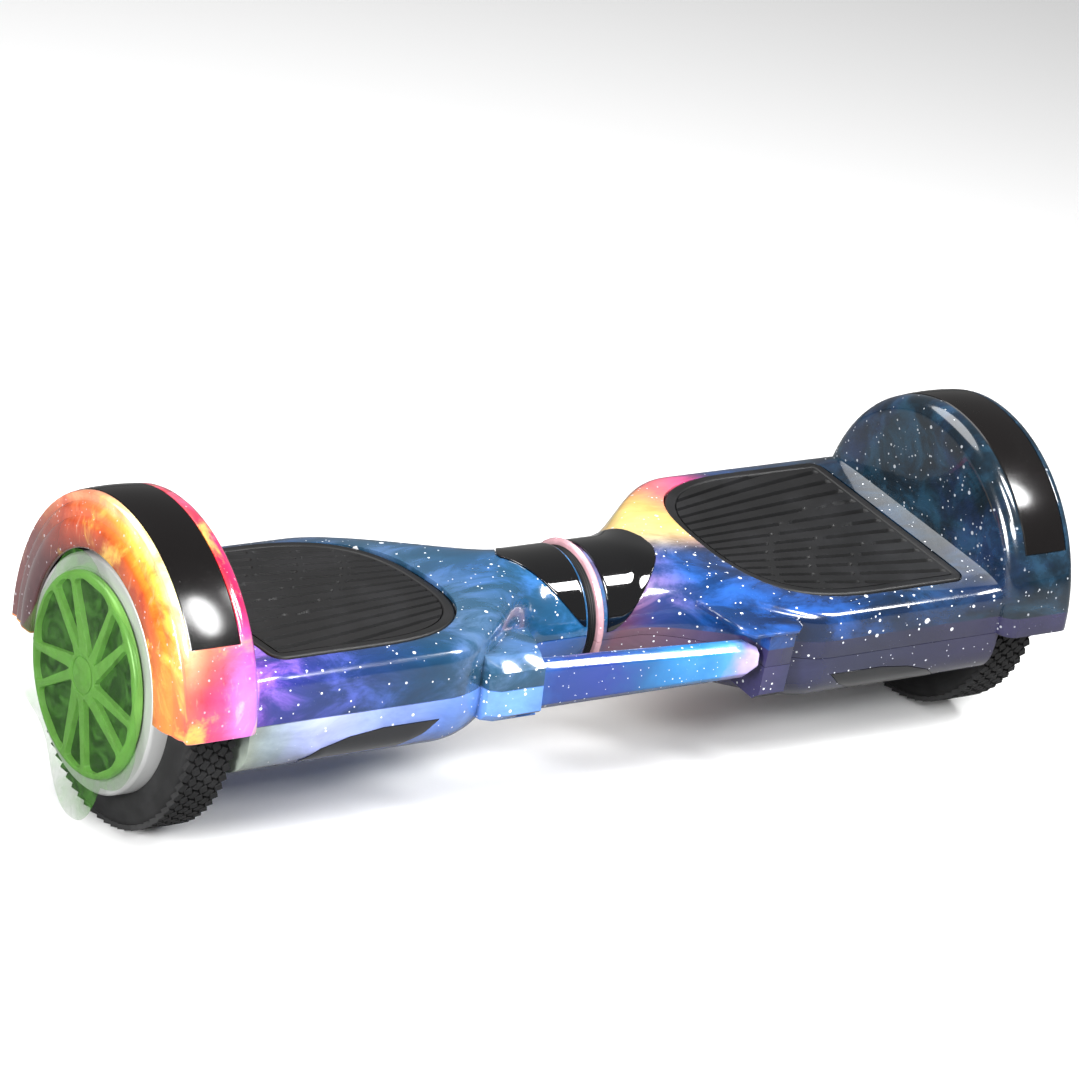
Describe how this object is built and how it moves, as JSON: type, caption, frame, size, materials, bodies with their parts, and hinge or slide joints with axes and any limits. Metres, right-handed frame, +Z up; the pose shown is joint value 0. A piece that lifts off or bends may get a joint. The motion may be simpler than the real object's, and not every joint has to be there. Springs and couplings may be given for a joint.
{
  "type": "self balancing hoverboard",
  "caption": "Two-wheeled self balancing board: two foot platforms that twist about a centre pivot, hub motor wheels under fenders, front carry handle.",
  "frame": {"origin": "on the floor, under the middle of the board and under its axle line", "axes": "+X along the axle line, +Z up, the lamps and the carry handle face -Y"},
  "size_m": [0.5872, 0.19, 0.1784],
  "materials": {
    "printed_shell": "high gloss clear coat over a printed night sky film",
    "gloss_black": "piano black gloss",
    "mat_rubber": "moulded satin rubber",
    "tyre_rubber": "solid rubber, matt",
    "smoked_lens": "smoked lamp lens, polished",
    "cast_aluminium": "cast and turned",
    "steel": "bright turned steel",
    "plated_cap": "plated hub cap",
    "bronze": "sintered bearing bronze",
    "copper_winding": "enamelled copper winding",
    "circuit_board": "green solder mask",
    "black_plastic": "fine moulded grain",
    "battery_wrap": "blue heat-shrink wrap",
    "green_film": "thin translucent protective film"
  },
  "bodies": {
    "left_half": {"left_upper_shell": "printed_shell", "left_lower_shell": "printed_shell", "left_fender_strip": "gloss_black", "left_centre_cap": "gloss_black", "left_lamp_lens": "smoked_lens", "left_lamp_board": "circuit_board", "left_chassis": "cast_aluminium", "left_axle_clamp": "steel", "left_gyro_board": "circuit_board", "left_motor_axle": "steel", "left_stator": "copper_winding", "carry_handle": "printed_shell", "pivot_tube": "steel", "pivot_circlip": "steel", "neck_seal": "mat_rubber", "main_board": "circuit_board", "speaker": "black_plastic"},
    "right_half": {"right_upper_shell": "printed_shell", "right_lower_shell": "printed_shell", "right_fender_strip": "gloss_black", "right_centre_cap": "gloss_black", "right_lamp_lens": "smoked_lens", "right_lamp_board": "circuit_board", "right_chassis": "cast_aluminium", "right_axle_clamp": "steel", "right_gyro_board": "circuit_board", "right_motor_axle": "steel", "right_stator": "copper_winding", "pivot_bush": "bronze", "battery_pack": "battery_wrap", "button_housing": "black_plastic", "charge_port": "black_plastic"},
    "left_wheel": {"left_tyre": "tyre_rubber", "left_rotor_drum": "cast_aluminium", "left_motor_cover": "cast_aluminium", "left_magnet_ring": "steel", "left_inner_bearing": "steel", "left_outer_bearing": "steel", "left_hub_cap": "plated_cap", "left_cap_film": "green_film"},
    "left_pad": {"left_foot_mat": "mat_rubber", "left_pad_plate": "black_plastic"},
    "right_wheel": {"right_tyre": "tyre_rubber", "right_rotor_drum": "cast_aluminium", "right_motor_cover": "cast_aluminium", "right_magnet_ring": "steel", "right_inner_bearing": "steel", "right_outer_bearing": "steel", "right_hub_cap": "plated_cap", "right_cap_film": "green_film"},
    "right_pad": {"right_foot_mat": "mat_rubber", "right_pad_plate": "black_plastic"},
    "power_button": {"power_button": "black_plastic"},
    "charge_cap": {"charge_cap": "mat_rubber"}
  },
  "joints": [
    {"name": "centre_twist", "type": "hinge", "parent": "left_half", "child": "right_half", "pos_m": [0, 0, 0.0825], "axis": [1, 0, 0], "range_deg": [-17, 3]},
    {"name": "left_wheel_spin", "type": "hinge", "parent": "left_half", "child": "left_wheel", "pos_m": [-0.265, 0, 0.0825], "axis": [1, 0, 0], "continuous": true},
    {"name": "right_wheel_spin", "type": "hinge", "parent": "right_half", "child": "right_wheel", "pos_m": [0.265, 0, 0.0825], "axis": [1, 0, 0], "continuous": true},
    {"name": "left_pad_press", "type": "slide", "parent": "left_half", "child": "left_pad", "axis": [0, 0, -1], "range_m": [0, 0.0015], "stiffness_N_per_m": 20000, "springref_m": -0.0005},
    {"name": "right_pad_press", "type": "slide", "parent": "right_half", "child": "right_pad", "axis": [0, 0.1219, -0.9925], "range_m": [0, 0.0015], "stiffness_N_per_m": 20000, "springref_m": -0.0005},
    {"name": "power_button_press", "type": "slide", "parent": "right_half", "child": "power_button", "axis": [0, -0.9925, -0.1219], "range_m": [0, 0.0012], "stiffness_N_per_m": 400, "springref_m": -0.0008},
    {"name": "charge_cap_hinge", "type": "hinge", "parent": "right_half", "child": "charge_cap", "pos_m": [0.168, 0.08799, 0.08796], "axis": [1, 0, 0], "range_deg": [0, 110]}
  ]
}
